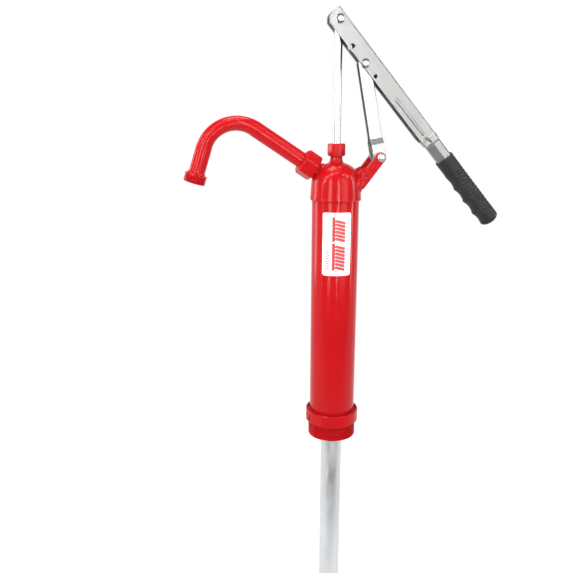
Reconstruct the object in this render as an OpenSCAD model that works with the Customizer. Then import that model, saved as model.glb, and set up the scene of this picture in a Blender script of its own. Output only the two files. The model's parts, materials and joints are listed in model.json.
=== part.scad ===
// Lever-action transfer pump that screws into the two-inch bung of a drum.
// The origin is on the pump axis at the bung seat, +Z is up, the lever reaches
// towards +X and the spout towards -X. Every piece is drawn with the handle down.

/* [Barrel] */
// Outside diameter of the pump barrel, a 2 1/4 inch tube
barrel_od = 57.15; // [56:0.05:58]
// Wall thickness of the barrel
barrel_wall = 1.65; // [1.2:0.05:2]
// Height of the barrel's top end above the bung seat
barrel_top = 300; // [290:1:310]

/* [Bung adapter] */
// Major diameter of the two-inch pipe thread
bung_thread_d = 60.3; // [59:0.1:61]
// Length of the threaded spigot below the seat
spigot_len = 20; // [18:0.5:24]
// Outside diameter of the collar that rests on the bung
collar_d = 67.4; // [66.6:0.1:74]
// Height of the collar
collar_h = 15; // [14:0.5:20]

/* [Rod and lever] */
// Diameter of the piston rod
rod_d = 9.525; // [9.4:0.005:9.6]
// Height of the rod pin above the bung seat with the handle down
rod_pin_z = 491; // [480:1:500]
// Slope of the lever below horizontal with the handle down
lever_slope = 49.75; // [45:0.25:52]
// Outside width of the lever channel
lever_w = 18.4; // [18:0.1:22]
// Sheet thickness of the lever channel
lever_t = 1.9; // [1.5:0.1:2]
// Distance from the rod pin to the end of the grip
lever_reach = 307.5; // [300:0.5:330]

/* [Spout] */
// Angle of the outlet port above horizontal
port_tilt = 33.5; // [30:0.5:36]
// Outside diameter of the spout tube
spout_od = 19.05; // [18.8:0.05:19.1]
// Distance along the port axis from the pump axis to the start of the bend
spout_run = 116; // [105:1:130]
// Centreline radius of the spout bend
bend_r = 40; // [36:1:50]
// Angle that the spout bend turns through
bend_turn = 106; // [100:1:115]
// Length of the straight drop after the bend
drop_len = 42.5; // [36:0.5:60]

/* [Suction tube] */
// Length of the upper suction tube
upper_len = 300; // [280:5:320]
// Outside diameter of the upper suction tube
upper_od = 26.7; // [26.6:0.1:26.8]
// Outside diameter of the middle suction tube
middle_od = 22.2; // [22.1:0.1:22.3]
// Outside diameter of the lower suction tube
lower_od = 19.05; // [18.9:0.05:19.1]

/* [Hidden] */
$fn = 64;

// Small gaps: between pieces that are fixed together, and between a shaft and its hole
fit = 0.02;
run = 0.05;
far = 200;

red = [0.82, 0.13, 0.15];
steel = [0.80, 0.81, 0.82];
brass = [0.78, 0.62, 0.30];
rubber = [0.09, 0.09, 0.09];

barrel_r = barrel_od / 2;
bore_r = barrel_r - barrel_wall;
rod_r = rod_d / 2;

// Bung adapter: floor, seats and the socket for the suction tube
spigot_r = bung_thread_d / 2;
collar_r = collar_d / 2;
floor_z = 1;
ledge_z = 3;
seal_t = 1.5;
chamber_r = 24;
socket_top = -6;
inlet_r = 9;
lug_angle = 15;

// Head casting
head_z = barrel_top - 15;
skirt_r = barrel_r + 2.3;
shoulder_r = barrel_r + 0.9;
dome_z = head_z + 19.5;
dome_r = 25.3;
dome_c = shoulder_r - dome_r;
dome_wall = 4;
neck_r = 7.5;
neck_top = head_z + 58;
port_z = head_z + 19.9;
boss_r = 11.4;
boss_end = 26.8;
boss_neck_r = 10.2;
port_thread_r = 12.2;
port_bore_r = 8;
port_end = 40;

// Packing nut and gland
nut_z = head_z + 52.4;
nut_h = 14.7;
nut_af = 19.05;
nut_turn = -6.5;
gland_z = neck_top + 0.3;
gland_top = nut_z + 11.7;

// Fulcrum: the ears on the head, the pin through them and the joggled link
fulcrum_x = 50.5;
fulcrum_z = head_z + 51.2;
ear_angle = 53;
ear_w = 12;
ear_in = 12.1;
ear_t = 6.3;
ear_len = 42;
pin_r = 3.2;
head_r = 5;
head_h = 2.6;
clip_t = 1;

// Lever, in its own frame: x runs from the rod pin to the grip, z towards the web
lever_end = -11.5;
lever_low = -12.1;
lever_top = 8.3;
channel_end = 166;
tang_start = 180;
tang_r = 8.9;
tang_z = -0.9;
grip_start = 205.2;
grip_r = 11.6;
grip_z = -0.45;
finger_ridges = [245.5, 265, 284.5];
link_hole = [56.35, -8.1];
spare_holes = [[32.1, -7.5, 2.6], [75.3, -7.8, 2.1]];
channel_in = lever_w / 2 - lever_t;

// The link joins the fulcrum pin to the lever's link hole
link_x = link_hole[0] * cos(lever_slope) + link_hole[1] * sin(lever_slope);
link_z = rod_pin_z - link_hole[0] * sin(lever_slope) + link_hole[1] * cos(lever_slope);
link_len = sqrt(pow(link_x - fulcrum_x, 2) + pow(link_z - fulcrum_z, 2));
link_lean = atan2(link_x - fulcrum_x, link_z - fulcrum_z);
link_w = 15;
link_t = 2.1;
link_top_v = channel_in - 0.4;
link_low_v = ear_in - 0.3;
joggle = [16.2, 22.6];
// The link's upper end is cut this much short of a full round, to pass under the lever's web
link_short = 0.6;

// Piston, stacked upwards from the rod's lower tip
tip_z = 109;
stud_r = 3.95;
plate_z = tip_z + 8.5;
cup_z = plate_z + 4;
body_z = cup_z + 3;
disc_z = body_z + 6;
stop_z = disc_z + 7;
plate_r = 22;
spigot_in_r = 13.9;
cup_r = bore_r - run;

// Spout
nut_s = [30.2, 51];
union_af = 28.9;
union_turn = 47.3;
collar_s = 41.5;
collar_end = 44.5;
tip_r = 13.45;
tip_len = 10.7;
spout_r = spout_od / 2;
spout_bore = 8;

// Suction tube, retracted
upper_r = upper_od / 2;
middle_r = middle_od / 2;
lower_r = lower_od / 2;
upper_top = socket_top - 0.5;
upper_end = upper_top - upper_len;
middle_end = upper_end - 17.5;
lower_end = middle_end - 18;
middle_top = -12;
lower_top = -16;

// Points of an arc with the given centre, radius and end angles
function arc(cx, cy, r, a0, a1, n = 14) =
    [for (i = [0:n]) let (a = a0 + (a1 - a0) * i / n) [cx + r * cos(a), cy + r * sin(a)]];

// A ring between two radii and two heights
module ring(r_out, r_in, z0, z1) {
    difference() {
        translate([0, 0, z0]) cylinder(r = r_out, h = z1 - z0);
        translate([0, 0, z0 - 1]) cylinder(r = r_in, h = z1 - z0 + 2);
    }
}

// A cylinder along Y between two positions
module across(r, y0, y1) {
    translate([0, y1, 0]) rotate([90, 0, 0]) cylinder(r = r, h = y1 - y0);
}

// Moves a child from the lever's, link's, ear's or port's own frame to its place
module at_lever() { translate([0, 0, rod_pin_z]) rotate([0, lever_slope, 0]) children(); }
module at_link() { translate([fulcrum_x, 0, fulcrum_z]) rotate([0, link_lean, 0]) children(); }
module at_ear() { translate([fulcrum_x, 0, fulcrum_z]) rotate([0, -ear_angle, 0]) children(); }
module at_port() {
    translate([0, 0, port_z]) rotate([0, port_tilt, 0]) rotate([0, 0, 180]) children();
}
// Turns a child drawn up the Z axis to lie along the port axis
module along_port() { at_port() rotate([0, 90, 0]) children(); }

// ---- Bung adapter ----

module base_casting() {
    color(red) difference() {
        union() {
            cylinder(r = collar_r, h = collar_h);
            translate([0, 0, -spigot_len]) cylinder(r = spigot_r, h = spigot_len);
            for (side = [0, 180]) rotate([0, 0, lug_angle + side])
                translate([collar_r - 2, -4, 1]) cube([3.1, 8, 10]);
        }
        translate([0, 0, ledge_z]) cylinder(r = barrel_r + fit, h = far);
        translate([0, 0, floor_z]) cylinder(r = chamber_r, h = far);
        // Groove around the barrel at the top of the collar
        translate([0, 0, collar_h - 3]) cylinder(r = barrel_r + 2.8, h = far);
        // Recess for the bung gasket
        ring(collar_r - 1, spigot_r + 0.5, -1, 1.8);
        translate([0, 0, socket_top - far]) cylinder(r = upper_r + fit, h = far);
        translate([0, 0, socket_top - 1]) cylinder(r = inlet_r, h = far);
        // Cored space between the spigot and the suction socket
        ring(spigot_r - 4.5, upper_r + 4.5, -spigot_len - 1, -7);
    }
}

module bung_gasket() { color(rubber) ring(collar_r - 1 - fit, spigot_r + 0.5 + fit, 0, 1.8); }

module barrel_seal() { color(rubber) ring(barrel_r - 0.1, chamber_r + 0.6, ledge_z, ledge_z + seal_t); }

module barrel() { color(red) ring(barrel_r, bore_r, ledge_z + seal_t, barrel_top); }

// Rounded rectangle wrapped around the barrel
label_z = 235;
label_h = 76.2;
label_half = 17.8;
label_turn = -95.3;
module label() {
    corner = 3;
    color("white") intersection() {
        ring(barrel_r + 0.2, barrel_r + fit, label_z - label_h, label_z + label_h);
        rotate([0, 0, label_turn]) translate([0, 0, label_z]) rotate([90, 0, 90]) linear_extrude(far) {
            square([2 * label_half - 2 * corner, label_h], center = true);
            square([2 * label_half, label_h - 2 * corner], center = true);
            for (x = [-1, 1], y = [-1, 1])
                translate([x * (label_half - corner), y * (label_h / 2 - corner)]) circle(r = corner);
        }
    }
}

// ---- Head ----

module head_gasket() { color(rubber) ring(barrel_r - 0.1, barrel_r - 3, barrel_top, barrel_top + seal_t); }

// Half section of the head's outside, without its bosses
head_outline = concat(
    [[0, head_z], [skirt_r - 0.5, head_z], [skirt_r, head_z + 1.5], [skirt_r - 0.2, head_z + 3]],
    arc(dome_c, dome_z, dome_r, 0, 86),
    [[0, dome_z + dome_r]]
);
// Half section of the space inside the head, above the barrel
head_space = concat(
    [[0, barrel_top + 1], [dome_c + dome_r - dome_wall, barrel_top + 1]],
    arc(dome_c, dome_z, dome_r - dome_wall, 0, 84),
    [[0, dome_z + dome_r - dome_wall]]
);

module head_casting() {
    color(red) difference() {
        union() {
            rotate_extrude() polygon(head_outline);
            translate([0, 0, dome_z + 20]) cylinder(r = neck_r, h = neck_top - dome_z - 20);
            translate([0, 0, dome_z + 23]) cylinder(r1 = neck_r + 3, r2 = neck_r + 0.2, h = 5);
            along_port() translate([0, 0, 10]) cylinder(r = boss_r, h = boss_end - 10);
            along_port() translate([0, 0, 10]) cylinder(r = boss_neck_r, h = port_end - 10.5);
            along_port() translate([0, 0, nut_s[0] + 0.8]) cylinder(r = port_thread_r, h = port_end - nut_s[0] - 0.8);
            // Lug that carries the fulcrum ears
            at_ear() translate([-ear_len - 4, -ear_in + fit, -6.5]) cube([17, 2 * (ear_in - fit), 13]);
        }
        translate([0, 0, head_z - 1]) cylinder(r = barrel_r + fit, h = barrel_top + seal_t - head_z + 1);
        rotate_extrude() polygon(head_space);
        translate([0, 0, dome_z]) cylinder(r = rod_r + run, h = far);
        along_port() cylinder(r = port_bore_r, h = far);
    }
}

module gland_packing() { color([0.75, 0.72, 0.62]) ring(neck_r, rod_r + 0.02, gland_z, gland_top - 1.2); }

module gland_washer() { color(brass) ring(neck_r, rod_r + run, gland_top - 1.2, gland_top); }

module packing_nut() {
    color(red) difference() {
        intersection() {
            rotate([0, 0, nut_turn]) translate([0, 0, nut_z])
                cylinder(d = nut_af / cos(30), h = nut_h, $fn = 6);
            translate([0, 0, nut_z]) rotate_extrude() polygon([
                [0, 0], [nut_af * 0.5, 0], [nut_af * 0.565, 1.2], [nut_af * 0.565, nut_h - 1.2],
                [nut_af * 0.5, nut_h], [0, nut_h]]);
        }
        translate([0, 0, nut_z - 1]) cylinder(r = neck_r + fit, h = gland_top - nut_z + 1 + fit);
        translate([0, 0, nut_z]) cylinder(r = rod_r + run, h = far);
    }
}

// One ear: a flat bar with a round end, trimmed to the head's side
module ear(side) {
    y0 = side > 0 ? ear_in : -ear_in - ear_t;
    color(red) difference() {
        at_ear() difference() {
            union() {
                across(ear_w / 2, y0, y0 + ear_t);
                translate([-ear_len, y0, -ear_w / 2]) cube([ear_len, ear_t, ear_w]);
            }
            across(pin_r + fit, -far, far);
        }
        cylinder(r = skirt_r - 1.2, h = far * 2);
    }
}
module fulcrum_ear_front() { ear(-1); }
module fulcrum_ear_rear() { ear(1); }

// A pin along Y with a domed head on the -Y side and a clip groove on the +Y side
module pin(face_y) {
    difference() {
        union() {
            across(pin_r, -face_y - 0.5, face_y + 3);
            translate([0, -face_y - fit, 0]) rotate([90, 0, 0]) rotate_extrude() polygon(
                concat([[0, 0]], arc(head_r - 2.2, head_h - 2.2, 2.2, 0, 88, 5), [[0, head_h]], []));
        }
        rotate([-90, 0, 0]) ring(far, pin_r - 0.6, face_y + 0.4, face_y + 0.4 + clip_t + 2 * fit);
    }
}
module clip(face_y) {
    rotate([-90, 0, 0]) difference() {
        ring(pin_r + 2.6, pin_r - 0.6 + fit, face_y + 0.4 + fit, face_y + 0.4 + fit + clip_t);
        translate([0, -pin_r - 3, face_y]) cube([2 * pin_r - 1.8, 2 * pin_r, 4], center = true);
    }
}
module fulcrum_pin() { color(steel) translate([fulcrum_x, 0, fulcrum_z]) pin(ear_in + ear_t); }
module fulcrum_clip() { color(steel) translate([fulcrum_x, 0, fulcrum_z]) clip(ear_in + ear_t); }

// ---- Foot valve ----

cage_r = 17;
cage_in = 15;
cage_h = 9.5;
module foot_valve_cage() {
    color(brass) translate([0, 0, floor_z]) difference() {
        union() {
            cylinder(r = cage_r, h = cage_h);
            cylinder(r = chamber_r - fit, h = 1.2);
        }
        translate([0, 0, -1]) cylinder(r = cage_in, h = cage_h - 1);
        cylinder(r = 3 + run, h = far);
        for (turn = [0, 90]) rotate([0, 0, turn]) translate([-far / 2, -6, 1.5]) cube([far, 12, cage_h - 4]);
        for (turn = [45:90:315]) rotate([0, 0, turn]) translate([8.5, 0, 0]) cylinder(r = 3, h = far);
    }
}

module foot_valve() {
    color(brass) {
        translate([0, 0, floor_z]) cylinder(r = 13, h = 2.5);
        translate([0, 0, floor_z + 2]) cylinder(r = 3, h = 11);
    }
}

// ---- Telescoping suction tube ----

// A tube with a raised bead near its top, which stops it inside the tube above
module slide_tube(r_out, wall, bead_r, top, end) {
    ring(r_out, r_out - wall, end, top);
    ring(bead_r, r_out - wall / 2, top - 3, top);
}
// A collar over the lower end of a tube, closed to the size of the tube inside it
module slip_collar(tube_r, inner_r, end) {
    difference() {
        translate([0, 0, end - 5.5]) cylinder(r = tube_r + 2.1, h = 12);
        translate([0, 0, end - 3.5]) cylinder(r = tube_r + fit, h = far);
        translate([0, 0, end - far]) cylinder(r = inner_r + run, h = 2 * far);
    }
}
module slip_seal(tube_r, inner_r, end) { ring(tube_r - 0.1, inner_r + 0.03, end - 3.5, end); }

module upper_tube() { color(steel) ring(upper_r, upper_r - 1.65, upper_end, upper_top); }
module upper_collar() { color(steel) slip_collar(upper_r, middle_r, upper_end); }
module upper_seal() { color(rubber) slip_seal(upper_r, middle_r, upper_end); }
module middle_tube() { color(steel) slide_tube(middle_r, 1.25, upper_r - 1.75, middle_top, middle_end); }
module middle_collar() { color(steel) slip_collar(middle_r, lower_r, middle_end); }
module middle_seal() { color(rubber) slip_seal(middle_r, lower_r, middle_end); }
module lower_tube() { color(steel) slide_tube(lower_r, 1.25, middle_r - 1.35, lower_top, lower_end); }

module strainer() {
    cup_len = 14;
    color([0.15, 0.15, 0.16]) difference() {
        translate([0, 0, lower_end - cup_len]) cylinder(r = lower_r + 2, h = cup_len + 6);
        translate([0, 0, lower_end]) cylinder(r = lower_r + fit, h = far);
        translate([0, 0, lower_end - cup_len + 1.5]) cylinder(r = lower_r - 0.6, h = far);
        for (turn = [0:30:150]) rotate([0, 0, turn])
            translate([-far / 2, -1, lower_end - cup_len + 3]) cube([far, 2, 8]);
    }
}

// ---- Piston ----

module piston_rod() {
    color(steel) difference() {
        union() {
            translate([0, 0, disc_z]) cylinder(r = rod_r, h = rod_pin_z - disc_z);
            translate([0, 0, tip_z]) cylinder(r = stud_r, h = disc_z - tip_z + 1);
            translate([0, 0, rod_pin_z]) across(6, -channel_in + 0.25, channel_in - 0.25);
        }
        translate([0, 0, rod_pin_z]) across(pin_r + run, -far, far);
        ring(far, rod_r - 0.8, stop_z, stop_z + 1.24);
    }
}

module ports() {
    for (turn = [0:60:300]) rotate([0, 0, turn]) translate([10, 0, 0]) cylinder(r = 2.4, h = far);
}
module piston_body() {
    color(brass) difference() {
        union() {
            translate([0, 0, cup_z]) cylinder(r = spigot_in_r, h = 4);
            translate([0, 0, body_z]) cylinder(r = bore_r - 4, h = disc_z - body_z);
        }
        translate([0, 0, tip_z]) cylinder(r = stud_r + fit, h = far);
        translate([0, 0, tip_z]) ports();
    }
}
module piston_plate() {
    color(brass) difference() {
        translate([0, 0, plate_z]) cylinder(r = plate_r, h = cup_z - plate_z);
        translate([0, 0, tip_z]) cylinder(r = stud_r + fit, h = far);
        translate([0, 0, tip_z]) ports();
    }
}
module piston_cup() {
    color([0.45, 0.28, 0.15]) difference() {
        translate([0, 0, cup_z]) cylinder(r = cup_r, h = 12.5);
        translate([0, 0, body_z]) cylinder(r = bore_r - 3.8, h = far);
        translate([0, 0, cup_z - 1]) cylinder(r = spigot_in_r + fit, h = far);
    }
}
module piston_nut() {
    color(steel) difference() {
        translate([0, 0, plate_z - 6.5]) cylinder(d = 12.7 / cos(30), h = 6.5, $fn = 6);
        translate([0, 0, tip_z]) cylinder(r = stud_r + fit, h = far);
    }
}
module piston_valve() { color(rubber) ring(13, rod_r + run, disc_z, disc_z + 2); }
module valve_stop_clip() { color(steel) ring(8, rod_r - 0.8 + fit, stop_z + fit, stop_z + 1.2 + fit); }

// ---- Lever ----

lever_side = [
    [lever_end, lever_top], [lever_end, -3.5], [lever_end + 7, lever_low], [channel_end, lever_low],
    [tang_start, tang_z - tang_r + 1], [tang_start, lever_top]
];
module lever() {
    color(steel) at_lever() difference() {
        union() {
            difference() {
                translate([0, lever_w / 2, 0]) rotate([90, 0, 0]) linear_extrude(lever_w) polygon(lever_side);
                translate([-far, -channel_in, -far])
                    cube([far + channel_end, 2 * channel_in, far + lever_top - lever_t]);
            }
            translate([tang_start - 1, 0, tang_z]) rotate([0, 90, 0])
                cylinder(r = tang_r, h = lever_reach - 14 - tang_start);
        }
        translate([channel_end - 1, 0, tang_z]) rotate([0, 90, 0]) cylinder(r = tang_r - 2, h = far);
        across(pin_r + fit, -far, far);
        translate([link_hole[0], 0, link_hole[1]]) across(pin_r + fit, -far, far);
        for (hole = spare_holes) translate([hole[0], 0, hole[1]]) across(hole[2], -far, far);
    }
}

module grip() {
    len = lever_reach - grip_start;
    color(rubber) at_lever() difference() {
        union() {
            translate([grip_start, 0, grip_z]) rotate([0, 90, 0]) rotate_extrude() polygon(concat(
                [[0, 0], [grip_r, 0]], arc(grip_r - 7, len - 7, 7, 0, 86, 8), [[0, len]]));
            for (x = finger_ridges) translate([x, 0, grip_z - 1.5]) rotate([0, 90, 0]) {
                translate([0, 0, -8]) cylinder(r1 = grip_r - 1.6, r2 = grip_r - 0.2, h = 8);
                cylinder(r1 = grip_r - 0.2, r2 = grip_r - 1.6, h = 8);
            }
        }
        translate([grip_start - 1, 0, tang_z]) rotate([0, 90, 0]) cylinder(r = tang_r + fit, h = len - 11);
    }
}

// The pins through the lever have their clips on the -Y side
module rod_pin() { color(steel) at_lever() mirror([0, 1, 0]) pin(lever_w / 2); }
module rod_pin_clip() { color(steel) at_lever() mirror([0, 1, 0]) clip(lever_w / 2); }

// The link pin is one pin, parted where it crosses the link so that the two can part in motion
module link_pin_ends() {
    color(steel) at_lever() translate([link_hole[0], 0, link_hole[1]]) difference() {
        mirror([0, 1, 0]) pin(lever_w / 2);
        across(far, -channel_in - 0.05, channel_in + 0.05);
    }
}
module link_pin_clip() {
    color(steel) at_lever() translate([link_hole[0], 0, link_hole[1]]) mirror([0, 1, 0]) clip(lever_w / 2);
}

// ---- Link ----

// Section of one side of the link: close to the lever's middle above, spread to the ears below
link_section = [
    [link_low_v, -link_w], [link_low_v, joggle[0]], [link_top_v, joggle[1]], [link_top_v, link_len + link_w],
    [link_top_v - link_t, link_len + link_w], [link_top_v - link_t, joggle[1] - 0.6],
    [link_low_v - link_t, joggle[0] - 0.6], [link_low_v - link_t, -link_w]
];
module link() {
    half = link_w / 2;
    color(steel) at_link() difference() {
        union() {
            intersection() {
                union() {
                    across(half, -far, far);
                    translate([-half, -far, 0]) cube([link_w, 2 * far, link_len - link_short]);
                    translate([0, 0, link_len - link_short]) across(half, -far, far);
                }
                for (side = [0, 1]) mirror([0, side, 0])
                    translate([-link_w, 0, 0]) rotate([90, 0, 90]) linear_extrude(2 * link_w) polygon(link_section);
            }
            translate([half - 2, -link_top_v + 0.5, joggle[1] + 3])
                cube([2, 2 * link_top_v - 1, link_len - joggle[1] - 15]);
        }
        across(pin_r + run, -far, far);
        translate([0, 0, link_len]) across(pin_r + fit, -far, far);
    }
}
module link_pin_shank() {
    color(steel) at_link() translate([0, 0, link_len]) across(pin_r, -link_top_v, link_top_v);
}

// ---- Outlet and spout ----

module union_gasket() { color(rubber) along_port() ring(port_thread_r - 0.1, port_bore_r + 0.2, port_end, collar_s); }

// A length of hexagonal bar that tapers between two sizes across flats
module hex_bar(z0, z1, af0, af1) {
    translate([0, 0, z0]) cylinder(d1 = af0 / cos(30), d2 = af1 / cos(30), h = z1 - z0, $fn = 6);
}
module union_nut() {
    len = nut_s[1] - nut_s[0];
    color(red) along_port() translate([0, 0, nut_s[0]]) difference() {
        rotate([0, 0, union_turn]) {
            hex_bar(0, 1.6, union_af - 2.4, union_af);
            hex_bar(1.6, len - 3, union_af, union_af);
            hex_bar(len - 3, len, union_af, union_af - 7.5);
        }
        translate([0, 0, -1]) cylinder(r = port_thread_r + fit, h = collar_end - nut_s[0] + 1 + fit);
        cylinder(r = spout_r + run, h = far);
    }
}

// The run, bend and drop of the spout as one solid rod of radius r, longer by extra at both ends.
// The straight lengths are a hair thinner than the bend and reach 0.5 mm into it.
module spout_path(r, extra) {
    along_port() translate([0, 0, collar_s - extra]) cylinder(r = r - 0.05, h = spout_run - collar_s + extra + 0.5);
    at_port() translate([spout_run, 0, -bend_r]) rotate([90, 0, 0]) rotate([0, 0, 90 - bend_turn])
        rotate_extrude(angle = bend_turn) translate([bend_r, 0]) circle(r = r);
    at_drop() translate([0, 0, -0.5]) cylinder(r = r - 0.05, h = drop_len + extra + 0.5);
}
module spout_tube() {
    color(red) difference() {
        spout_path(spout_r, 0);
        spout_path(spout_bore, 1);
    }
}
// Frame at the end of the bend, with Z along the drop
module at_drop() {
    at_port() translate([spout_run, 0, -bend_r]) rotate([0, bend_turn, 0]) translate([0, 0, bend_r])
        rotate([0, 90, 0]) children();
}
module spout_collar() {
    color(red) along_port() ring(port_thread_r - 0.1, spout_r - 0.05 + fit, collar_s, collar_end);
}
module spout_tip() { color(red) at_drop() ring(tip_r, spout_r - 0.05 + fit, drop_len - tip_len, drop_len); }

base_casting();
bung_gasket();
barrel_seal();
barrel();
label();
head_gasket();
head_casting();
gland_packing();
gland_washer();
packing_nut();
fulcrum_ear_front();
fulcrum_ear_rear();
fulcrum_pin();
fulcrum_clip();
foot_valve_cage();
foot_valve();
upper_tube();
upper_collar();
upper_seal();
middle_tube();
middle_collar();
middle_seal();
lower_tube();
strainer();
piston_rod();
piston_body();
piston_cup();
piston_plate();
piston_nut();
piston_valve();
valve_stop_clip();
lever();
grip();
rod_pin();
rod_pin_clip();
link_pin_ends();
link_pin_clip();
link();
link_pin_shank();
union_gasket();
union_nut();
spout_tube();
spout_collar();
spout_tip();
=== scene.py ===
import json
import math

import bpy
import numpy as np
from mathutils import Matrix, Vector


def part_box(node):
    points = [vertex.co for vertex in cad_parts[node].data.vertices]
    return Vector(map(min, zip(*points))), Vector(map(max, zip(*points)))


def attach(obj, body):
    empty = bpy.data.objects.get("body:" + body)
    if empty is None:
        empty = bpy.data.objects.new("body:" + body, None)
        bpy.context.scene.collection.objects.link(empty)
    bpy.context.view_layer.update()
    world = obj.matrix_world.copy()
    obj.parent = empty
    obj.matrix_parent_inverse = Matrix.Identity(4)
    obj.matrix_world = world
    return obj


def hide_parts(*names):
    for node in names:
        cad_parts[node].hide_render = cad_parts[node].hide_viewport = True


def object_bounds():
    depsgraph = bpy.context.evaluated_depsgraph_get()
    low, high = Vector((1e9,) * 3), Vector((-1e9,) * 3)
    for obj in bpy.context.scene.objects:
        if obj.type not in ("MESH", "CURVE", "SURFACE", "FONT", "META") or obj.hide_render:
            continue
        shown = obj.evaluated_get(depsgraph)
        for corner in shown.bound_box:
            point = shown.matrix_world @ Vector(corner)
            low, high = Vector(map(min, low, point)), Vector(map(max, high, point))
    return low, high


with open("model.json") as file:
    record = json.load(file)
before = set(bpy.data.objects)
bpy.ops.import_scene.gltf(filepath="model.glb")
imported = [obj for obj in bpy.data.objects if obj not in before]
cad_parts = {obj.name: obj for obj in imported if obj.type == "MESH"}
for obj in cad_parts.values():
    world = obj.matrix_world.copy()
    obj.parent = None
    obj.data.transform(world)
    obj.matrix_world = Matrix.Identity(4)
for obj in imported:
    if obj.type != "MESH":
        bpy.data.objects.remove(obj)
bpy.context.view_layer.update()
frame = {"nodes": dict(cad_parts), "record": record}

RECORD = frame["record"]
JOINTS = {j["name"]: j for j in RECORD["behaviour"]["joints"]}
BODY_OF = {n: b for b, members in RECORD["behaviour"]["bodies"].items() for n in members}
SLOT_OF = {s["node"]: s["material_slot"] for s in RECORD["subparts"]}
MM = 0.001


# ---------------------------------------------------------------- places, in mm
def top_of(node):
    """Height of the top of a node of the CAD model."""
    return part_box(node)[1][2] / MM


def foot_of(node):
    """Height of the lowest point of a node of the CAD model."""
    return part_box(node)[0][2] / MM


ROD_PIN = Vector(JOINTS["handle"]["pos_m"]) / MM
FULCRUM = Vector(JOINTS["link_swing"]["pos_m"]) / MM
PORT = Vector(JOINTS["spout_swivel"]["pos_m"]) / MM
PORT_AXIS = Vector(JOINTS["spout_swivel"]["axis"])
PORT_TILT = math.asin(PORT_AXIS.z)
HEAD_Z = foot_of("head_casting")
BARREL_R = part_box("barrel")[1][0] / MM

# The lever falls away from the rod pin at its slope. In its own frame X runs along it and Z out of its web,
# and LINK_HOLE is (x, z). HALF_OUT is half its width, and SHEET is the thickness of its metal.
LEVER_SLOPE = math.radians(49.75)
LINK_HOLE = (56.35, -8.1)
HALF_OUT, SHEET = 9.2, 1.9
LEVER_IN = HALF_OUT - SHEET
# The ears lie on both sides of the link: EAR_IN is the distance of their inner faces from the middle.
EAR_ANGLE = math.radians(53)
EAR_IN, EAR_T, EAR_W, EAR_LEN = 12.1, 6.3, 12.0, 42.0
# Pins: radius of the shank, radius and height of the head, and the holes that hold a pin or turn on one.
PIN_R, PIN_HEAD_R, PIN_HEAD_H = 3.2, 5.0, 2.6
HELD_HOLE_R, FREE_HOLE_R = 3.22, 3.25
# The spout runs straight from the port, bends down and ends in a straight drop.
SPOUT_RUN, BEND_R, DROP_LEN = 116.0, 40.0, 42.5
BEND_TURN = math.radians(106)


def turn(axis, angle):
    return Matrix.Rotation(angle, 4, axis)


HERE = Matrix.Identity(4)
AT_LEVER = Matrix.Translation(ROD_PIN) @ turn("Y", LEVER_SLOPE)
link_top = AT_LEVER @ Vector((LINK_HOLE[0], 0, LINK_HOLE[1]))
LINK_LEN = (link_top - FULCRUM).length
LINK_LEAN = math.atan2(link_top.x - FULCRUM.x, link_top.z - FULCRUM.z)
AT_LINK = Matrix.Translation(FULCRUM) @ turn("Y", LINK_LEAN)
AT_EAR = Matrix.Translation(FULCRUM) @ turn("Y", -EAR_ANGLE)
AT_PORT = Matrix.Translation(PORT) @ turn("Y", PORT_TILT) @ turn("Z", math.pi)
ALONG_PORT = AT_PORT @ turn("Y", math.pi / 2)
AT_BEND = AT_PORT @ Matrix.Translation((SPOUT_RUN, 0, -BEND_R))
AT_DROP = AT_BEND @ turn("Y", BEND_TURN) @ Matrix.Translation((0, 0, BEND_R)) @ turn("Y", math.pi / 2)
ALONG_Y = turn("X", -math.pi / 2)


# ---------------------------------------------------------------- making meshes
def placed(points, place):
    """Points in mm in their own frame, as metres in the row frame."""
    m = np.array(place)
    return (np.asarray(points, float) @ m[:3, :3].T + m[:3, 3]) * MM


def solid(name, parts, mat, nodes=(), sharp=38, normals=None, body=None):
    """One piece from (points in metres, faces) parts, riding on the body of the node that it stands for."""
    points, faces = [], []
    for pts, fcs in parts:
        start = sum(len(p) for p in points)
        points.append(np.asarray(pts))
        faces += [tuple(int(i) + start for i in f) for f in fcs]
    mesh = bpy.data.meshes.new(name)
    mesh.from_pydata(np.concatenate(points).tolist(), [], faces)
    mesh.validate()
    mesh.shade_smooth()
    if normals is not None and len(normals) == len(mesh.vertices):
        mesh.normals_split_custom_set_from_vertices([tuple(n) for n in normals])
    else:
        mesh.set_sharp_from_angle(angle=math.radians(sharp))
    mesh.materials.append(mat)
    piece = bpy.data.objects.new(name, mesh)
    bpy.context.scene.collection.objects.link(piece)
    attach(piece, body or BODY_OF[nodes[0]])
    if nodes:
        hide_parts(*nodes)
    return piece


def skin(rings, place=HERE, closed=False):
    """A surface through rings of points, where a ring that is one point closes an end.

    closed joins the last ring to the first.
    """
    points, rows, faces = [], [], []
    for ring in rings:
        ring = np.asarray(ring, float)
        if np.ptp(ring, axis=0).max() < 1e-7:
            ring = ring[:1]
        rows.append(range(len(points), len(points) + len(ring)))
        points += ring.tolist()
    pairs = list(zip(rows, rows[1:])) + ([(rows[-1], rows[0])] if closed else [])
    for a, b in pairs:
        n = max(len(a), len(b))
        for i in range(n):
            j = (i + 1) % n
            if len(a) == 1:
                faces.append((a[0], b[j], b[i]))
            elif len(b) == 1:
                faces.append((a[i], a[j], b[0]))
            else:
                faces.append((a[i], a[j], b[j], b[i]))
    return placed(points, place), faces


def circle(n=72):
    return np.linspace(0, 2 * np.pi, n, endpoint=False)


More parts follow.
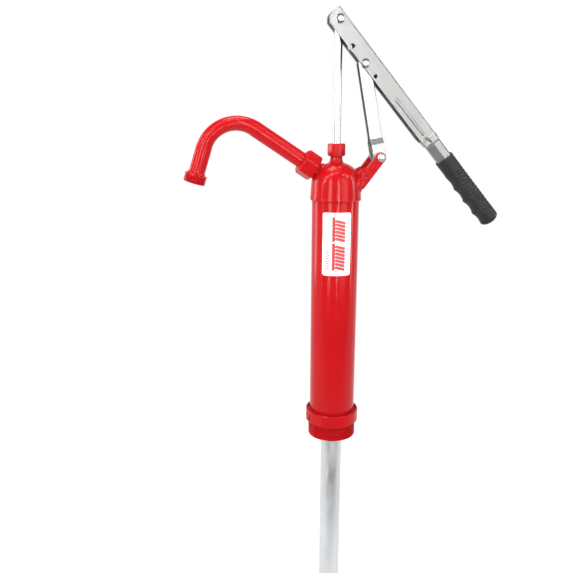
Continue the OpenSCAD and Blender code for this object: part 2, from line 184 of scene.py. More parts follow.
def lathe(profile, place=HERE, n=72, closed=True, shape=None):
    """Revolves (r, z) points. shape(angle, r, z), if given, returns the radius at each angle."""
    a = circle(n)
    rings = []
    for r, z in profile:
        radius = shape(a, r, z) if shape else np.full(n, float(r))
        rings.append(np.stack([radius * np.cos(a), radius * np.sin(a), np.full(n, float(z))], 1))
    return skin(rings, place, closed)


def soft(profile, r=0.4, steps=4, closed=True):
    """The profile with each corner rounded by about r."""
    pts = [np.array(p, float) for p in profile]
    out = []
    n = len(pts)
    for i, p in enumerate(pts):
        if not closed and i in (0, n - 1):
            out.append(p)
            continue
        a, b = pts[i - 1] - p, pts[(i + 1) % n] - p
        la, lb = np.linalg.norm(a), np.linalg.norm(b)
        cut = min(r, la * 0.45, lb * 0.45)
        if p[0] < 1e-6 or cut < 0.02:
            out.append(p)
            continue
        start, end = p + a / la * cut, p + b / lb * cut
        for t in np.linspace(0, 1, steps):
            out.append((1 - t) ** 2 * start + 2 * t * (1 - t) * p + t * t * end)
    return out


def tube_profile(r_out, r_in, z0, z1, edge=0.4):
    """Closed section of a ring, counter-clockwise so that faces point outwards."""
    return soft([(r_in, z0), (r_out, z0), (r_out, z1), (r_in, z1)], edge)


# Distance fields, in mm. Each takes arrays and gives a signed distance, negative inside.
def smin(a, b, k):
    """The smaller of two fields, blended where they are closer than k."""
    h = np.maximum(k - np.abs(a - b), 0) / k
    return np.minimum(a, b) - h * h * k / 4


def smax(a, b, k):
    return -smin(-a, -b, k)


def meet(r, *fields):
    """Where all the fields are inside, with edges rounded by r."""
    most = fields[0]
    far = np.maximum(fields[0] + r, 0) ** 2
    for f in fields[1:]:
        most = np.maximum(most, f)
        far = far + np.maximum(f + r, 0) ** 2
    return np.sqrt(far) + np.minimum(most, -r)


def poly(x, y, pts):
    """Signed distance to a polygon."""
    best = np.full(np.shape(x), 1e9, np.float32)
    sign = np.zeros(np.shape(x), bool)
    for (ax, ay), (bx, by) in zip(pts, pts[1:] + pts[:1]):
        ex, ey = bx - ax, by - ay
        px, py = x - ax, y - ay
        t = np.clip((px * ex + py * ey) / (ex * ex + ey * ey), 0, 1)
        best = np.minimum(best, (px - ex * t) ** 2 + (py - ey * t) ** 2)
        if ey != 0:
            sign ^= ((ay > y) != (by > y)) & (x < ex * (y - ay) / ey + ax)
    return np.where(sign, -1, 1) * np.sqrt(best)


def capsule(p, a, b, r):
    """Distance to a rod with round ends from a to b."""
    a, b = np.array(a, float), np.array(b, float)
    e = b - a
    d = [p[i] - a[i] for i in range(len(a))]
    t = np.clip(sum(d[i] * e[i] for i in range(len(a))) / (e @ e), 0, 1)
    return np.sqrt(sum((d[i] - e[i] * t) ** 2 for i in range(len(a)))) - r


def arc(cx, cy, r, a0, a1, n=14):
    """Points round part of a circle, from a0 to a1 degrees."""
    angles = [math.radians(a) for a in np.linspace(a0, a1, n)]
    return [(cx + r * math.cos(a), cy + r * math.sin(a)) for a in angles]


def local(p, place):
    """Row-frame coordinate arrays, in mm, seen from another frame."""
    m = np.array(place.inverted())
    return [m[i, 0] * p[0] + m[i, 1] * p[1] + m[i, 2] * p[2] + m[i, 3] for i in range(3)]


def ripple(x, y, z, size, seed=0):
    """A smooth bumpy field between about -1 and 1, with bumps of the given size."""
    k = 2 * np.pi / size
    s = seed * 1.7
    return (np.sin(k * (x + 0.31 * y) + s) * np.sin(k * (y - 0.27 * z) + 2.1 * s)
            + np.sin(k * (0.83 * z + 0.42 * x) - s) * np.sin(k * 0.71 * (x - y + z) + 0.6 * s)) / 1.6


def net(field, low, high, step, place=HERE):
    """The zero surface of a distance field, by surface nets, drawn onto the surface, with its normals."""
    size = [int(math.ceil((h - l) / step)) + 3 for l, h in zip(low, high)]
    start = np.array([l - step for l in low])
    axes = [(start[i] + step * np.arange(size[i])).astype(np.float32) for i in range(3)]
    d = field(*np.meshgrid(*axes, indexing="ij")).astype(np.float32)
    inside = d < 0
    cells = np.array(size) - 1
    stride = np.array([cells[1] * cells[2], cells[2], 1])
    where, spots, quads = [], [], []
    for a in range(3):
        lo = tuple(slice(0, -1) if i == a else slice(None) for i in range(3))
        hi = tuple(slice(1, None) if i == a else slice(None) for i in range(3))
        at = np.array(np.nonzero(inside[lo] != inside[hi])).T
        d0, d1 = d[lo][tuple(at.T)], d[hi][tuple(at.T)]
        spot = at.astype(float)
        spot[:, a] += d0 / (d0 - d1)
        b, c = (a + 1) % 3, (a + 2) % 3
        quad = []
        for ob, oc in ((0, 0), (-1, 0), (-1, -1), (0, -1)):
            cell = at.copy()
            cell[:, b] += ob
            cell[:, c] += oc
            flat = cell @ stride
            quad.append(flat)
            where.append(flat)
            spots.append(spot)
        quad = np.array(quad).T
        flip = d0 > 0
        quad[flip] = quad[flip][:, ::-1]
        quads.append(quad)
    where, spots = np.concatenate(where), np.concatenate(spots)
    used, index = np.unique(where, return_inverse=True)
    count = np.bincount(index)
    p = np.stack([np.bincount(index, spots[:, i]) / count for i in range(3)], 1) * step + start
    faces = np.searchsorted(used, np.concatenate(quads))

    def gradient(q):
        e = 0.25 * step
        rises = [field(*(q + e * axis).T) - field(*(q - e * axis).T) for axis in np.eye(3)]
        return np.stack(rises, 1) / (2 * e)

    for _ in range(2):
        g = gradient(p)
        move = field(*p.T)[:, None] * g / np.maximum((g * g).sum(1), 0.2)[:, None]
        length = np.linalg.norm(move, axis=1, keepdims=True)
        p = p - move * np.minimum(1, 0.6 * step / np.maximum(length, 1e-9))
    g = gradient(p)
    g /= np.maximum(np.linalg.norm(g, axis=1, keepdims=True), 1e-9)
    turned = g @ np.array(place)[:3, :3].T
    return placed(p, place), faces.tolist(), turned


def moulded(name, field, low, high, step, mat, nodes, place=HERE, extra=()):
    """One piece cut from a distance field, with any extra (points, faces) parts beside it."""
    points, faces, normals = net(field, low, high, step, place)
    if extra:
        return solid(name, [(points, faces), *extra], mat, nodes)
    return solid(name, [(points, faces)], mat, nodes, normals=normals)


# ---------------------------------------------------------------- materials
def material(name, color, rough, metal=0.0, coat=0.0, *, spec=0.35, tint=0.06, tint_size=40, rough_vary=0.08,
             grain=0.0, grain_size=1.0, lumps=0.0, lump_size=12, stretch=(1, 1, 1)):
    """A surface with uneven colour and gloss and two scales of relief. All sizes are in mm."""
    mat = bpy.data.materials.new(name)
    mat.use_nodes = True
    nodes, links = mat.node_tree.nodes, mat.node_tree.links
    bsdf = nodes["Principled BSDF"]
    coords = nodes.new("ShaderNodeTexCoord")
    mapping = nodes.new("ShaderNodeMapping")
    mapping.inputs["Scale"].default_value = stretch
    links.new(coords.outputs["Object"], mapping.inputs["Vector"])

    def noise(size, detail=3.0):
        n = nodes.new("ShaderNodeTexNoise")
        for socket, number in (("Scale", 1000 / size), ("Detail", detail), ("Roughness", 0.55)):
            n.inputs[socket].default_value = number
        links.new(mapping.outputs["Vector"], n.inputs["Vector"])
        return n.outputs["Fac"]

    def spread(value, low, high):
        """The noise, whose values lie mostly between 0.3 and 0.7, spread over low to high."""
        m = nodes.new("ShaderNodeMapRange")
        for socket, number in (("From Min", 0.3), ("From Max", 0.7), ("To Min", low), ("To Max", high)):
            m.inputs[socket].default_value = number
        links.new(value, m.inputs["Value"])
        return m.outputs["Result"]

    shade = nodes.new("ShaderNodeMix")
    shade.data_type = "RGBA"
    links.new(spread(noise(tint_size), 0.0, 1.0), shade.inputs["Factor"])
    for socket, level in (("A", 1 - tint), ("B", 1 + tint)):
        shade.inputs[socket].default_value = (*(min(1, c * level) for c in color), 1)
    links.new(shade.outputs["Result"], bsdf.inputs["Base Color"])
    gloss = noise(tint_size * 0.35, 5.0)
    links.new(spread(gloss, rough - rough_vary, rough + rough_vary), bsdf.inputs["Roughness"])
    bsdf.inputs["Metallic"].default_value = metal
    bsdf.inputs["Coat Weight"].default_value = coat
    bsdf.inputs["Specular IOR Level"].default_value = 0.5 if metal else spec
    bsdf.inputs["Coat Roughness"].default_value = 0.12
    last = None
    for amount, size, detail in ((lumps, lump_size, 2.0), (grain, grain_size, 3.0)):
        if amount:
            bump = nodes.new("ShaderNodeBump")
            bump.inputs["Strength"].default_value = 1.0
            bump.inputs["Distance"].default_value = amount * MM
            links.new(noise(size, detail), bump.inputs["Height"])
            if last:
                links.new(last, bump.inputs["Normal"])
            last = bump.outputs["Normal"]
    if last:
        links.new(last, bsdf.inputs["Normal"])
    return mat


RED = (0.36, 0.0045, 0.0065)
paint_tube = material("paint_on_tube", RED, 0.17, spec=0.16, tint=0.04, tint_size=90, rough_vary=0.03,
                      lumps=0.03, lump_size=26, grain=0.0015, grain_size=2.0)
paint_cast = material("paint_on_casting", RED, 0.17, spec=0.16, tint=0.07, tint_size=30, rough_vary=0.05,
                      lumps=0.11, lump_size=9, grain=0.008, grain_size=2.2)
paint_weld = material("paint_on_bars", RED, 0.20, spec=0.16, tint=0.07, tint_size=24, rough_vary=0.05,
                      lumps=0.08, lump_size=7, grain=0.008, grain_size=2.0)
zinc = material("zinc_plated_sheet", (0.245, 0.245, 0.24), 0.36, 1.0, tint=0.05, tint_size=22,
                rough_vary=0.07, lumps=0.03, lump_size=14, grain=0.003, grain_size=0.8)
# Painted light: the link's zinc is the lever's zinc made brighter, standing in for the light that the link
# catches.
zinc_link_lit = material("zinc_link_painted_light", (0.41, 0.41, 0.405), 0.34, 1.0, tint=0.05, tint_size=22,
                     rough_vary=0.04, lumps=0.03, lump_size=14, grain=0.003, grain_size=0.8)
# Painted shade: a darker zinc for faces inside the folds of the pressed sheets and on the link's joggle,
# standing in for shade and for a dark reflection.
painted_shade_zinc = material("zinc_with_painted_shade", (0.20, 0.20, 0.20), 0.5, 1.0, tint=0.15, tint_size=12,
                     rough_vary=0.08, grain=0.01, grain_size=0.6)
rod_steel = material("ground_rod", (0.50, 0.50, 0.50), 0.2, 1.0, tint=0.03, tint_size=30,
                     rough_vary=0.05, grain=0.0012, grain_size=0.8, stretch=(1, 1, 0.04))
pin_steel = material("pin_steel", (0.46, 0.46, 0.45), 0.26, 1.0, tint=0.06, tint_size=6,
                     rough_vary=0.08, grain=0.002, grain_size=0.8)
clip_steel = material("phosphated_spring_steel", (0.05, 0.05, 0.052), 0.4, 0.8, tint=0.15, tint_size=4,
                      rough_vary=0.06, grain=0.01, grain_size=0.5)
tube_steel = material("galvanised_tube", (0.62, 0.63, 0.64), 0.36, 1.0, tint=0.10, tint_size=26,
                      rough_vary=0.10, lumps=0.03, lump_size=12, grain=0.006, grain_size=0.7,
                      stretch=(1, 1, 0.25))
brass_mat = material("turned_brass", (0.75, 0.53, 0.22), 0.32, 1.0, tint=0.08, tint_size=12,
                     grain=0.01, grain_size=0.8)
rubber_mat = material("black_rubber", (0.022, 0.022, 0.023), 0.62, tint=0.2, tint_size=12,
                      grain=0.03, grain_size=0.9)
grip_mat = material("moulded_grip", (0.012, 0.012, 0.0125), 0.5, spec=0.25, tint=0.18, tint_size=18,
                    rough_vary=0.07, grain=0.035, grain_size=0.7)
packing_mat = material("braided_packing", (0.62, 0.58, 0.47), 0.85, tint=0.15, tint_size=3,
                       grain=0.15, grain_size=1.5)
leather_mat = material("cup_leather", (0.24, 0.12, 0.05), 0.6, tint=0.2, tint_size=8,
                       grain=0.08, grain_size=1.2)
plastic_mat = material("strainer_plastic", (0.03, 0.03, 0.033), 0.5, tint=0.12, tint_size=10,
                       grain=0.02, grain_size=0.8)


def label_ink(name, color, rough, coat, tint, tint_size):
    return material(name, color, rough, coat=coat, tint=tint, tint_size=tint_size, grain=0.006,
                    grain_size=1.2)


label_white = label_ink("label_white", (0.86, 0.86, 0.85), 0.3, 0.3, 0.02, 20)
label_grey = label_ink("label_grey", (0.70, 0.70, 0.70), 0.35, 0.2, 0.03, 16)
label_dark = label_ink("label_dark_grey", (0.16, 0.17, 0.18), 0.4, 0.0, 0.05, 10)
label_red = label_ink("label_red", (0.66, 0.03, 0.03), 0.36, 0.0, 0.05, 10)
BY_SLOT = {
    "red_paint": paint_cast, "steel": tube_steel, "brass": brass_mat, "rubber": rubber_mat,
    "label": label_white, "grip_rubber": grip_mat, "packing": packing_mat, "leather": leather_mat,
    "strainer_plastic": plastic_mat,
}
for node_name, node in frame["nodes"].items():
    node.data.materials.clear()
    node.data.materials.append(BY_SLOT[SLOT_OF[node_name]])

# ---------------------------------------------------------------- bung adapter and barrel
SPIGOT_R, COLLAR_R, LUG_R = 30.15, 33.4, 34.75
LUG_TURN = math.radians(15)
PIPE_PITCH = 2.209


def thread(a, r, z, pitch, depth, z0, z1):
    """Radius of a 60 degree thread with a rounded root, running out towards both ends."""
    phase = ((z / pitch - a / (2 * np.pi)) % 1.0)
    height = np.clip(1.25 * (1 - np.abs(2 * phase - 1)) - 0.1, 0, 1)
    run_out = np.clip(min(z - z0, z1 - z) / pitch, 0, 1)
    return r - depth * (1 - height) * run_out


def base_radius(a, r, z):
    """Radius of the adapter: a thread on its spigot, two lugs and a parting line on its collar."""
    if r > SPIGOT_R - 0.05 and z < -0.9:
        return thread(a, r, z, PIPE_PITCH, 1.5, -20.5, -1.4)
    if r < COLLAR_R - 0.05 or z < 0.5:
        return np.full(len(a), r)
    off = np.abs((a - LUG_TURN + np.pi / 2) % np.pi - np.pi / 2)
    across = np.abs(np.sin(off)) * r
    lug = LUG_R - np.maximum(across - 3.2, 0) ** 2 * 0.6
    lug -= 1.6 * np.clip((z - 10.0) / 1.4, 0, 1) ** 2 + 1.4 * np.clip((2.2 - z) / 1.4, 0, 1) ** 2
    seam = sum(0.14 * np.exp(-((a - math.radians(bearing)) / 0.012) ** 2) for bearing in (277, 97))
    cast = 0.06 * np.sin(9 * a + z) * np.sin(0.4 * z + 2 * a)
    return np.maximum(r + seam + cast, lug)


base_outline = (
    [(25.65, -20.0), (28.6, -20.0), (29.3, -19.7)]
    + [(SPIGOT_R, z) for z in np.arange(-19.5, -1.2, 0.26)]
    + [(29.2, -1.1), (29.2, -0.1), (30.6, 0.0), (30.63, 1.8), (32.7, 1.8), (32.7, 0.0)]
    + [(33.0, 0.0), (33.3, 0.25)] + [(COLLAR_R, z) for z in np.linspace(0.6, 14.2, 28)]
    + [(33.25, 14.7), (32.8, 15.0), (32.1, 15.0), (31.6, 14.8), (31.4, 14.2), (31.3, 12.6)]
    + [(30.6, 12.05), (29.2, 12.0), (28.6, 12.2), (28.6, 3.0), (24.0, 3.0), (24.0, 1.0), (9.0, 1.0)]
    + [(9.0, -6.0), (13.37, -6.0), (13.37, -20.0), (17.85, -20.0), (17.85, -7.0), (25.65, -7.0)]
)
base_lathe = lathe(base_outline, n=216, shape=base_radius)
solid("bung_adapter_casting", [base_lathe], paint_cast, ["base_casting"], sharp=32)


def weld_bead(a, r, z):
    """The ring of weld between collar and barrel, uneven along its length."""
    wave = 0.35 * np.sin(52 * a) * np.sin(11 * a + 1) + 0.25 * np.sin(31 * a + 2)
    return r + (wave if 29 < r < 31 else 0)


barrel_profile = tube_profile(BARREL_R, BARREL_R - 1.65, foot_of("barrel"), top_of("barrel"), 0.5)
solid("barrel_tube", [lathe(barrel_profile, n=128)], paint_tube, ["barrel"])
bead_profile = soft([(28.2, 11.6), (30.4, 11.7), (30.3, 12.6), (29.4, 13.3), (28.2, 13.6)], 0.4)
solid("barrel_root_bead", [lathe(bead_profile, n=216, shape=weld_bead)], paint_cast, body="housing")

# ---------------------------------------------------------------- label
LABEL_Z = (top_of("label") + foot_of("label")) / 2
LABEL_TURN = math.radians(-95.3)


def decal(x0, x1, z0, z1, corner, lift, rise=0.0):
    """A thin patch with round corners, wrapped on the barrel. rise tilts its top and bottom edges."""
    r = BARREL_R + lift
    low, rows = BARREL_R + 0.01, []
    corner = min(corner, (z1 - z0) / 2 - 1e-3, (x1 - x0) / 2 - 1e-3)
    bend = np.linspace(0, np.pi / 2, 7)
    fall = corner * (1 - np.cos(bend))
    zs = sorted({round(v, 4) for v in [*(z0 + fall), *(z1 - fall)]})
    columns = max(3, int((x1 - x0) / 1.0) + 2)
    for z in zs:
        inset = 0.0
        for edge, side in ((z0 + corner, -1), (z1 - corner, 1)):
            if (z - edge) * side > 0:
                inset = corner - math.sqrt(max(corner ** 2 - (z - edge) ** 2, 0))
        rows.append((z, np.linspace(x0 + inset, x1 - inset, columns)))
    points, faces = [], []
    for radius in (low, r):
        for z, xs in rows:
            for x in xs:
                a = LABEL_TURN + x / BARREL_R
                points.append((radius * math.cos(a), radius * math.sin(a), LABEL_Z + z + rise * (x - x0)))
    layer = len(rows) * columns
    for i in range(len(rows) - 1):
        for j in range(columns - 1):
            q = i * columns + j
            face = (q, q + 1, q + columns + 1, q + columns)
            faces.append(tuple(v + layer for v in face))
            faces.append(face[::-1])
    rim = ([j for j in range(columns)] + [i * columns + columns - 1 for i in range(1, len(rows))]
           + [(len(rows) - 1) * columns + j for j in range(columns - 2, -1, -1)]
           + [i * columns for i in range(len(rows) - 2, 0, -1)])
    for p, q in zip(rim, rim[1:] + rim[:1]):
        faces.append((p, q, q + layer, p + layer))
    return placed(points, HERE), faces


HALF_W, HALF_H = 17.8, 38.1
solid("label_film", [decal(-HALF_W, HALF_W, -HALF_H, HALF_H, 3.0, 0.12)], label_white, ["label"])
# A ladder of tilted bars beside two long bars, each with a grey shadow, and a short ladder at the lower left
bars = [(-5.0, -2.2, 4.2, 33.4, 0.0), (-5.0, -2.2, -31.0, 1.6, 0.0)]
bars += [(-1.2, 10.2, z, z + 2.7, -0.26) for z in [*np.arange(6.2, 31, 4.25), *np.arange(-28.6, 1, 4.25)]]
small = [(-13.6, -9.2, z, z + 1.1, 0.45) for z in np.arange(-31.0, -7.0, 3.1)]
panels = [decal(x0, x1, -34.4, 34.4, 1.2, 0.16) for x0, x1 in ((-14.6, -7.0), (11.2, 15.0))]
shadows = [decal(x0 - 1.0, x1 - 0.6, z0 - 0.9, z1 - 0.5, 0.3, 0.17, rise) for x0, x1, z0, z1, rise in bars]
marks = [decal(x0, x1, z0, z1, 0.3, 0.19, rise) for x0, x1, z0, z1, rise in bars + small]
decor = {
    "label_border": (label_red, [decal(-16.2, 16.2, -36.4, 36.4, 2.4, 0.14)]),
    "label_field": (label_white, [decal(-15.6, 15.6, -35.8, 35.8, 1.9, 0.15)]),
    "label_panel": (label_grey, panels),
    "label_shadows": (label_dark, shadows),
    "label_bars": (label_red, marks),
}
for piece_name, (mat, parts) in decor.items():
    piece = solid(piece_name, parts, mat, body="housing")

# ---------------------------------------------------------------- head
DOME_Z = HEAD_Z + 19.5
NECK_TOP = top_of("head_casting")
head_outline = [(0, HEAD_Z), (30.0, HEAD_Z), (30.75, HEAD_Z + 0.7), (30.95, HEAD_Z + 2.2)]
head_outline += [(30.6, HEAD_Z + 4.0), (29.55, DOME_Z)]
head_outline += arc(4.18, DOME_Z, 25.3, 2, 86) + [(0, DOME_Z + 25.3)]
neck_outline = [(0, DOME_Z + 20), (9.4, DOME_Z + 23.0), (8.6, DOME_Z + 25.4), (7.55, DOME_Z + 28.0),
                (7.2, DOME_Z + 31), (7.2, NECK_TOP), (0, NECK_TOP)]
cavity = ([(0, HEAD_Z - 5), (28.6, HEAD_Z - 5), (28.6, HEAD_Z + 16.5), (25.2, HEAD_Z + 16.5)]
          + arc(4.18, DOME_Z, 21.2, 0, 84) + [(0, DOME_Z + 21.2)])


def head_field(x, y, z):
    """Dome, neck, stepped port, the ears' root and its welds, less the cavity and the two bores."""
    r = np.sqrt(x * x + y * y)
    body = poly(r, z, head_outline) - 0.15
    body = smin(body, poly(r, z, neck_outline), 1.6)
    s = local((x, y, z), ALONG_PORT)
    radial = np.sqrt(s[0] ** 2 + s[1] ** 2)
    body = smin(body, meet(0.8, radial - 10.2, 12 - s[2], s[2] - 33.0), 3.0)
    body = smin(body, meet(1.0, radial - 11.4, 12 - s[2], s[2] - 26.8), 1.2)
    body = np.minimum(body, meet(0.5, radial - 12.1, 31.1 - s[2], s[2] - 39.95))
    e = local((x, y, z), AT_EAR)
    lug = meet(1.5, np.abs(e[1]) - 12.0, np.abs(e[2]) - 6.2, -46 - e[0], e[0] + 30)
    body = smin(body, lug, 4.0)
    side = np.abs(y)
    weld = capsule((x, side, z), (24.0, 17.2, 302.5), (31.0, 16.0, 317.5), 3.9)
    weld = smin(weld, capsule((x, side, z), (28.5, 18.6, 303.5), (34.5, 18.0, 312.5), 2.7), 2.5)
    weld = smin(weld, capsule((x, side, z), (25.5, 11.0, 318.5), (33.0, 12.5, 321.5), 2.6), 2.5)
    weld = weld + 0.5 * ripple(x, y, z, 5.5, 1) + 0.25 * ripple(x, y, z, 2.8, 2)
    body = smin(body, weld, 2.2)
    body = body + 0.05 * ripple(x, y, z, 11, 3)
    body = np.maximum(body, -poly(r, z, cavity))
    body = np.maximum(body, 4.82 - r)
    return np.maximum(body, np.where(s[2] > 0, 8.0 - radial, -9))


moulded("head_dome", head_field, (-46, -32, HEAD_Z - 0.5), (42, 32, NECK_TOP + 0.3), 0.6, paint_cast,
        ["head_casting"])


def hexagon(a, flat, turned):
    """Radius at each angle of a hexagon whose faces lie at the distance flat."""
    return flat / np.cos((a - turned) % (math.pi / 3) - math.pi / 6)


def nut(name, profile, bore, across_flats, turned, place, mat, nodes, n=144):
    """A hexagon limited by a turned profile of (z, radius), with a bore of (radius, z) from top to bottom."""
    def shape(a, r, z):
        if r < 0:
            return np.full(len(a), -r)
        return smin(hexagon(a, across_flats / 2, turned), np.full(len(a), r), 0.7)
    zs = np.array([p[0] for p in profile])
    rs = np.array([p[1] for p in profile])
    fine = np.unique(np.concatenate([zs, np.linspace(zs[0], zs[-1], 34)]))
    outside = [(float(np.interp(z, zs, rs)), float(z)) for z in fine]
    inside = [(-r, z) for r, z in bore]
    return solid(name, [lathe(outside + inside, place, n, shape=shape)], mat, nodes, sharp=24)


NUT_Z = foot_of("packing_nut")
NUT_H = top_of("packing_nut") - NUT_Z
nut_outside = [(0, 9.3), (0.35, 9.75), (1.3, 10.75), (NUT_H - 1.5, 10.8), (NUT_H - 0.45, 9.9), (NUT_H, 9.2)]
nut_bore = [(5.3, NUT_H), (4.85, NUT_H - 0.5), (4.85, 11.8), (7.5, 11.8), (7.5, 0.6), (7.9, 0.0)]
nut("packing_nut_hex", nut_outside, nut_bore, 19.05, math.radians(-6.5 - 90 + 30),
    Matrix.Translation((0, 0, NUT_Z)), paint_cast, ["packing_nut"])

# ---------------------------------------------------------------- ears and pins
def ear_field(side):
    """A flat bar with a round end and a pin hole, in the ears' frame, which ends on the wall of the head."""
    def field(x, y, z):
        v = np.abs(y - side * (EAR_IN + EAR_T / 2)) - EAR_T / 2
        r = np.sqrt(x * x + z * z)
        outline = np.minimum(r - EAR_W / 2, meet(0.05, np.abs(z) - EAR_W / 2, x, -EAR_LEN - x))
        bar = smax(meet(0.9, outline, v), HELD_HOLE_R - r, 0.5)
        row = local_to_row(x, y, z, AT_EAR)
        return np.maximum(bar + 0.05 * ripple(x, y, z, 9, 4), 29.3 - np.sqrt(row[0] ** 2 + row[1] ** 2))
    return field


def local_to_row(x, y, z, place):
    """Coordinates in another frame, seen from the row frame."""
    m = np.array(place)
    return [m[i, 0] * x + m[i, 1] * y + m[i, 2] * z + m[i, 3] for i in range(3)]


for side, where in ((-1, "front"), (1, "rear")):
    mid = side * (EAR_IN + EAR_T / 2)
    low = (-EAR_LEN - 0.5, mid - EAR_T / 2 - 0.3, -EAR_W / 2 - 0.3)
    high = (EAR_W / 2 + 0.3, mid + EAR_T / 2 + 0.3, EAR_W / 2 + 0.3)
    moulded("ear_bar_" + where, ear_field(side), low, high, 0.45, paint_weld, ["fulcrum_ear_" + where],
            AT_EAR)


def pin_tail(f):
    """The end of a pin that stands out past a face at f, with a groove for its clip."""
    groove = [(PIN_R, f + 0.4), (2.6, f + 0.42), (2.6, f + 1.44), (PIN_R, f + 1.46)]
    return groove + [(PIN_R, f + 2.6), (2.7, f + 3.0), (0, f + 3.0)]


def pin_parts(face_y, place, head_side):
    """A pin along Y: a domed head outside face_y on head_side, and its tail on the other side."""
    flip = HERE if head_side < 0 else turn("Z", math.pi)
    bends = np.linspace(np.pi / 2, 0, 9)[1:]
    dome = [(PIN_HEAD_R * math.cos(t), -face_y - 0.5 - (PIN_HEAD_H - 0.5) * math.sin(t)) for t in bends]
    head = [(0, -face_y - PIN_HEAD_H)] + dome
    head += [(PIN_HEAD_R, -face_y - 0.1), (PIN_HEAD_R - 0.15, -face_y), (PIN_R, -face_y)]
    return [lathe(head + pin_tail(face_y), place @ flip @ ALONG_Y, 48, closed=False)]


def clip_field(x, y, z):
    """A spring clip in its own plane: two broad lobes, open towards x, and a thin bow behind the pin."""
    r = np.sqrt(x * x + y * y)
    ring = np.maximum(r - 5.3, 2.62 - r)
    mouth = np.abs(y) - 0.7 * x - 0.3
    behind = np.maximum(np.abs(y) + 1.2 * x, 3.4 - r)
    flat = smax(smax(ring, -mouth, 0.5), -behind, 0.5)
    return meet(0.2, flat, np.abs(z) - 0.5)


def clip_piece(name, place, face_y, side, opening, nodes):
    """A clip in the groove of a pin's tail. opening is the angle that its mouth is turned by."""
    at = place @ Matrix.Translation((0, side * (face_y + 0.93), 0)) @ ALONG_Y @ turn("Z", opening)
    moulded(name, clip_field, (-6, -6, -0.6), (6, 6, 0.6), 0.2, clip_steel, nodes, at)


AT_FULCRUM = Matrix.Translation(FULCRUM)
solid("fulcrum_pin_steel", pin_parts(EAR_IN + EAR_T, AT_FULCRUM, -1), pin_steel, ["fulcrum_pin"])
clip_piece("fulcrum_e_clip", AT_FULCRUM, EAR_IN + EAR_T, 1, 0.7, ["fulcrum_clip"])

# ---------------------------------------------------------------- rod
ROD_R = 4.7625
EYE_HALF = (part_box("piston_rod")[1][1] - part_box("piston_rod")[0][1]) / MM / 2
STOP_Z = foot_of("valve_stop_clip") - 0.02
DISC_Z = foot_of("piston_valve")
TIP_Z = foot_of("piston_rod")


def eye_field(x, y, z):
    """The eye at the top of the rod, blended into the last of its shaft."""
    r = np.sqrt(x * x + z * z)
    eye = meet(0.7, r - 5.95, np.abs(y) - EYE_HALF + 0.05)
    shaft = np.maximum(np.sqrt(x * x + y * y) - ROD_R, np.maximum(z, -15.0 - z))
    return smax(smin(eye, shaft, 2.2), FREE_HOLE_R - r, 0.4)


ROD_END = ROD_PIN.z - 14.7
rod_profile = [(0, TIP_Z), (3.2, TIP_Z), (3.95, TIP_Z + 0.8), (3.95, DISC_Z), (ROD_R, DISC_Z)]
rod_profile += [(ROD_R, STOP_Z), (3.96, STOP_Z), (3.96, STOP_Z + 1.24), (ROD_R, STOP_Z + 1.24)]
rod_profile += [(ROD_R, z) for z in np.linspace(200, ROD_END, 8)] + [(0, ROD_END)]
rod_lathe = lathe(rod_profile, n=64, closed=False)
moulded("piston_rod_and_eye", eye_field, (-6.6, -EYE_HALF - 0.3, -14.8), (6.6, EYE_HALF + 0.3, 6.6), 0.4,
        rod_steel, ["piston_rod"], Matrix.Translation(ROD_PIN), extra=[rod_lathe])

# ---------------------------------------------------------------- lever
GRIP_START, LEVER_REACH = 205.2, 307.5
WEB_TOP = 8.3
side_outline = [(-11.05, WEB_TOP), (-11.42, 1.5), (-11.45, -1.8), (-11.0, -5.9), (-9.4, -8.4), (-5.2, -11.7),
                (-4.0, -12.1), (166.0, -12.1), (171.0, -11.7), (176.0, -10.6), (180.0, -10.4),
                (180.0, WEB_TOP)]
tang_half = [(6.6, 8.2), (8.8, 6.4), (8.8, -1.3), (3.8, -10.3)]
tang_section = tang_half + [(-y, z) for y, z in tang_half[::-1]]
# Holes (x, z, radius): for the rod pin, for the link pin, and two spare ones.
lever_holes = [(0, 0, HELD_HOLE_R), (*LINK_HOLE, HELD_HOLE_R), (32.1, -7.5, 2.6), (75.3, -7.8, 2.1)]


def darken(piece, place, is_shaded):
    """Gives the faces of a pressed sheet inside its folds and along its bends a darker zinc: painted shade
    inside the folds and a painted dark reflection along the bends.
    """
    piece.data.materials.append(painted_shade_zinc)
    back = np.array(place.inverted())
    for face in piece.data.polygons:
        c = np.array(face.center) / MM
        if is_shaded(*(back[:3, :3] @ c + back[:3, 3])):
            face.material_index = 1


def lever_field(x, y, z):
    """A channel with a pressed rib on each side, pinched in where it narrows to the tang in the grip."""
    side = np.abs(y)
    outline = poly(x, z, side_outline)
    outer = meet(2.6, side - HALF_OUT, z - WEB_TOP)
    inner = meet(1.0, side - (HALF_OUT - SHEET), z - (WEB_TOP - SHEET), x - 171.0)
    channel = meet(0.35, outline, smax(outer, -inner, 0.5))
    rib = capsule((x, side, z), (111.5, HALF_OUT - 1.6, -5.1), (163.5, HALF_OUT - 1.6, -4.5), 2.3)
    channel = smin(channel, np.maximum(rib, -inner), 0.8)
    section = poly(y, z, tang_section) + 0.25
    tang = meet(1.2, section, 172.0 - x, x - (LEVER_REACH - 14.5))
    body = smin(channel, tang, 2.5)
    pinch = np.sqrt(((x - 175.5) / 6.5) ** 2 + ((side - 10.4) / 2.4) ** 2 + ((z + 6.4) / 4.4) ** 2)
    body = smax(body, (1 - pinch) * 2.4, 1.5)
    for hx, hz, hr in lever_holes:
        body = smax(body, hr - np.sqrt((x - hx) ** 2 + (z - hz) ** 2), 0.4)
    return body


# Painted shade: the faces inside the lever's channel get the darker zinc.
def painted_shade_inside_lever(x, y, z):
    return abs(y) < HALF_OUT - SHEET + 0.3 and z < WEB_TOP - SHEET + 0.3 and x < 170


